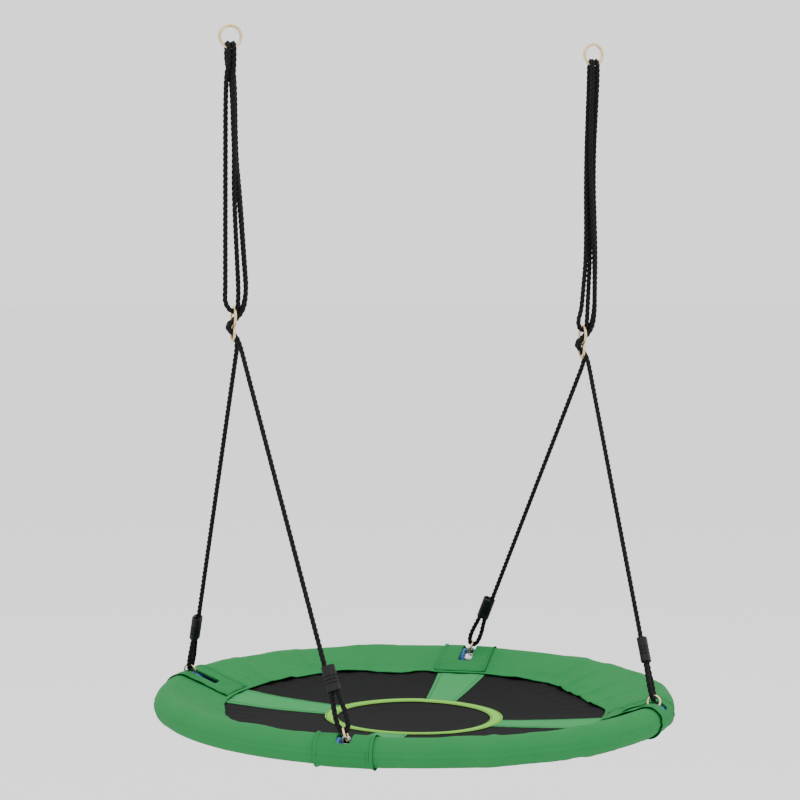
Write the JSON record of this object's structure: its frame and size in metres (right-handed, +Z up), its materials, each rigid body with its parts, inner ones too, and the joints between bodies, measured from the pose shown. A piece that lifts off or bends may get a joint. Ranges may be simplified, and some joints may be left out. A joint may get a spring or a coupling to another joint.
{
  "type": "saucer nest swing",
  "caption": "Round fabric saucer seat on a padded steel rim, hung by two rope bridles with wire adjusters from a pair of rings.",
  "frame": {"origin": "midpoint of the line between the centres of the two hanging rings, where a beam or frame holds the swing", "axes": "+Z up, X from the left hanging ring to the right hanging ring, -Y the front"},
  "size_m": [0.9997, 0.9998, 1.3218],
  "materials": {
    "rope_cord": "matte",
    "brassed_wire": "satin",
    "clamp_plastic": null,
    "galvanised_steel": "satin",
    "blue_foam": "matte",
    "green_fabric": "satin",
    "mat_fabric": "matte",
    "light_fabric": "satin"
  },
  "bodies": {
    "hanging_rings": {"left_hanging_ring": "brassed_wire", "right_hanging_ring": "brassed_wire"},
    "left_hitch": {"left_rope_hitch": "rope_cord"},
    "right_hitch": {"right_rope_hitch": "rope_cord"},
    "left_rope": {"left_back_rope": "rope_cord", "left_front_rope": "rope_cord", "left_rope_bight": "rope_cord", "left_rope_adjuster": "brassed_wire", "left_back_clamp": "clamp_plastic", "left_front_clamp": "clamp_plastic", "left_back_link": "brassed_wire", "left_front_link": "brassed_wire"},
    "right_rope": {"right_back_rope": "rope_cord", "right_front_rope": "rope_cord", "right_rope_bight": "rope_cord", "right_rope_adjuster": "brassed_wire", "right_back_clamp": "clamp_plastic", "right_front_clamp": "clamp_plastic", "right_back_link": "brassed_wire", "right_front_link": "brassed_wire"},
    "seat": {"left_back_lug": "galvanised_steel", "left_front_lug": "galvanised_steel", "right_back_lug": "galvanised_steel", "right_front_lug": "galvanised_steel", "left_back_rim_tube": "galvanised_steel", "left_front_rim_tube": "galvanised_steel", "right_back_rim_tube": "galvanised_steel", "right_front_rim_tube": "galvanised_steel", "rim_screws": "galvanised_steel", "right_foam": "blue_foam", "back_foam": "blue_foam", "left_foam": "blue_foam", "front_foam": "blue_foam", "edge_cover": "green_fabric", "seat_mat": "mat_fabric", "centre_circle": "light_fabric", "spoke_straps": "green_fabric", "left_back_cuff": "green_fabric", "left_front_cuff": "green_fabric", "right_back_cuff": "green_fabric", "right_front_cuff": "green_fabric"}
  },
  "joints": [
    {"name": "fore_aft_swing", "type": "hinge", "parent": "hanging_rings", "child": "left_hitch", "pos_m": [-0.393, 0, -0.02], "axis": [1, 0, 0], "range_deg": [-35, 35]},
    {"name": "right_fore_aft_swing", "type": "hinge", "parent": "hanging_rings", "child": "right_hitch", "pos_m": [0.393, 0, -0.02], "axis": [1, 0, 0], "range_deg": [-35, 35]},
    {"name": "side_sway", "type": "hinge", "parent": "left_hitch", "child": "left_rope", "pos_m": [-0.393, 0, -0.0475], "axis": [0, 1, 0], "range_deg": [-6, 6]},
    {"name": "right_side_sway", "type": "hinge", "parent": "right_hitch", "child": "right_rope", "pos_m": [0.393, 0, -0.0475], "axis": [0, 1, 0], "range_deg": [-6, 6]},
    {"name": "seat_tilt", "type": "hinge", "parent": "left_rope", "child": "seat", "pos_m": [-0.32395, 0, -1.2362], "axis": [0, 1, 0], "range_deg": [-10, 10]}
  ],
  "couplings": [
    {"joint": "right_fore_aft_swing", "follows": "fore_aft_swing", "ratio": 1},
    {"joint": "right_side_sway", "follows": "side_sway", "ratio": 1},
    {"joint": "seat_tilt", "follows": "side_sway", "ratio": -1.205}
  ]
}
